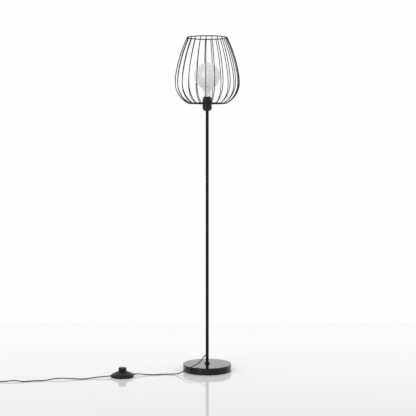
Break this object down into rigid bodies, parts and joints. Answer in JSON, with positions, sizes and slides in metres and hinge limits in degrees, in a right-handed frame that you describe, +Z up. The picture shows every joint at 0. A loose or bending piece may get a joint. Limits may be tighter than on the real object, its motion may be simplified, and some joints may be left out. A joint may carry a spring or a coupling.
{
  "type": "floor lamp",
  "caption": "Slim floor lamp with a round weighted base, thin pole, tulip-shaped open wire cage, bare opal globe bulb, lead with a round foot switch and a plug.",
  "frame": {"origin": "on the floor, at the centre of the round base, under the pole's axis", "axes": "+Z up along the pole; the pictured front faces -Y; the lead runs off towards -X"},
  "size_m": [1.163, 0.3939, 1.5],
  "materials": {
    "base_cover": "gloss black",
    "base_weight": "as cast",
    "base_pad": "matt black foam rubber",
    "base_fasteners": "zinc plated",
    "pole_collar": "satin black",
    "lower_tube": "satin black",
    "middle_tube": "satin black",
    "upper_tube": "satin black",
    "tube_inserts": "zinc plated",
    "cord_bush": "smooth black",
    "holder_nipple": "zinc plated",
    "holder_cap": "satin black",
    "holder_core": "cream insulator",
    "holder_contacts": "plain",
    "screw_shell": "plain",
    "holder_shell": "satin black",
    "shade_ring": "satin black",
    "cage_top_ring": "semi-gloss black",
    "cage_bottom_ring": "semi-gloss black",
    "cage_carrier": "semi-gloss black",
    "bulb_globe": "opal white",
    "bulb_cap": "plain",
    "switch_cover": "black",
    "switch_plate": "black",
    "switch_button": "black",
    "switch_spring": "plain wire",
    "switch_contacts": "plain",
    "switch_screws": "zinc plated",
    "switch_feet": "matt black",
    "switch_reliefs": "matt black",
    "plug_body": "moulded black",
    "plug_pins": "nickel plated",
    "cord_in_pole": "smooth black jacket",
    "cord_to_switch": "smooth black jacket",
    "cord_to_plug": "smooth black jacket",
    "cord_coil": "smooth black jacket",
    "cord_tie": "black",
    "rib_01": "semi-gloss black",
    "rib_02": "semi-gloss black",
    "rib_03": "semi-gloss black",
    "rib_04": "semi-gloss black",
    "rib_05": "semi-gloss black",
    "rib_06": "semi-gloss black",
    "rib_07": "semi-gloss black",
    "rib_08": "semi-gloss black",
    "rib_09": "semi-gloss black",
    "rib_10": "semi-gloss black",
    "rib_11": "semi-gloss black",
    "rib_12": "semi-gloss black",
    "rib_13": "semi-gloss black",
    "rib_14": "semi-gloss black",
    "rib_15": "semi-gloss black",
    "rib_16": "semi-gloss black",
    "rib_17": "semi-gloss black",
    "rib_18": "semi-gloss black",
    "rib_19": "semi-gloss black",
    "rib_20": "semi-gloss black",
    "rib_21": "semi-gloss black",
    "rib_22": "semi-gloss black",
    "rib_23": "semi-gloss black"
  },
  "bodies": {
    "lamp": {"base_cover": "base_cover", "base_weight": "base_weight", "base_pad": "base_pad", "base_fasteners": "base_fasteners", "pole_collar": "pole_collar", "lower_tube": "lower_tube", "middle_tube": "middle_tube", "upper_tube": "upper_tube", "tube_inserts": "tube_inserts", "cord_bush": "cord_bush", "holder_nipple": "holder_nipple", "holder_cap": "holder_cap", "holder_core": "holder_core", "holder_contacts": "holder_contacts", "screw_shell": "screw_shell", "holder_shell": "holder_shell", "shade_ring": "shade_ring", "cage_top_ring": "cage_top_ring", "cage_bottom_ring": "cage_bottom_ring", "cage_carrier": "cage_carrier", "switch_cover": "switch_cover", "switch_plate": "switch_plate", "switch_spring": "switch_spring", "switch_contacts": "switch_contacts", "switch_screws": "switch_screws", "switch_feet": "switch_feet", "switch_reliefs": "switch_reliefs", "plug_body": "plug_body", "plug_pins": "plug_pins", "cord_in_pole": "cord_in_pole", "cord_to_switch": "cord_to_switch", "cord_to_plug": "cord_to_plug", "cord_coil": "cord_coil", "cord_tie": "cord_tie", "rib_01": "rib_01", "rib_02": "rib_02", "rib_03": "rib_03", "rib_04": "rib_04", "rib_05": "rib_05", "rib_06": "rib_06", "rib_07": "rib_07", "rib_08": "rib_08", "rib_09": "rib_09", "rib_10": "rib_10", "rib_11": "rib_11", "rib_12": "rib_12", "rib_13": "rib_13", "rib_14": "rib_14", "rib_15": "rib_15", "rib_16": "rib_16", "rib_17": "rib_17", "rib_18": "rib_18", "rib_19": "rib_19", "rib_20": "rib_20", "rib_21": "rib_21", "rib_22": "rib_22", "rib_23": "rib_23"},
    "button": {"switch_button": "switch_button"},
    "bulb": {"bulb_globe": "bulb_globe", "bulb_cap": "bulb_cap"}
  },
  "joints": [
    {"name": "switch_press", "type": "slide", "parent": "lamp", "child": "button", "axis": [0, 0, 1], "range_m": [-0.004, 0], "stiffness_N_per_m": 600, "springref_m": 0.004, "deforming": ["switch_spring"]},
    {"name": "bulb_lift", "type": "slide", "parent": "lamp", "child": "bulb", "axis": [0, 0, 1], "range_m": [0, 0.3]}
  ]
}
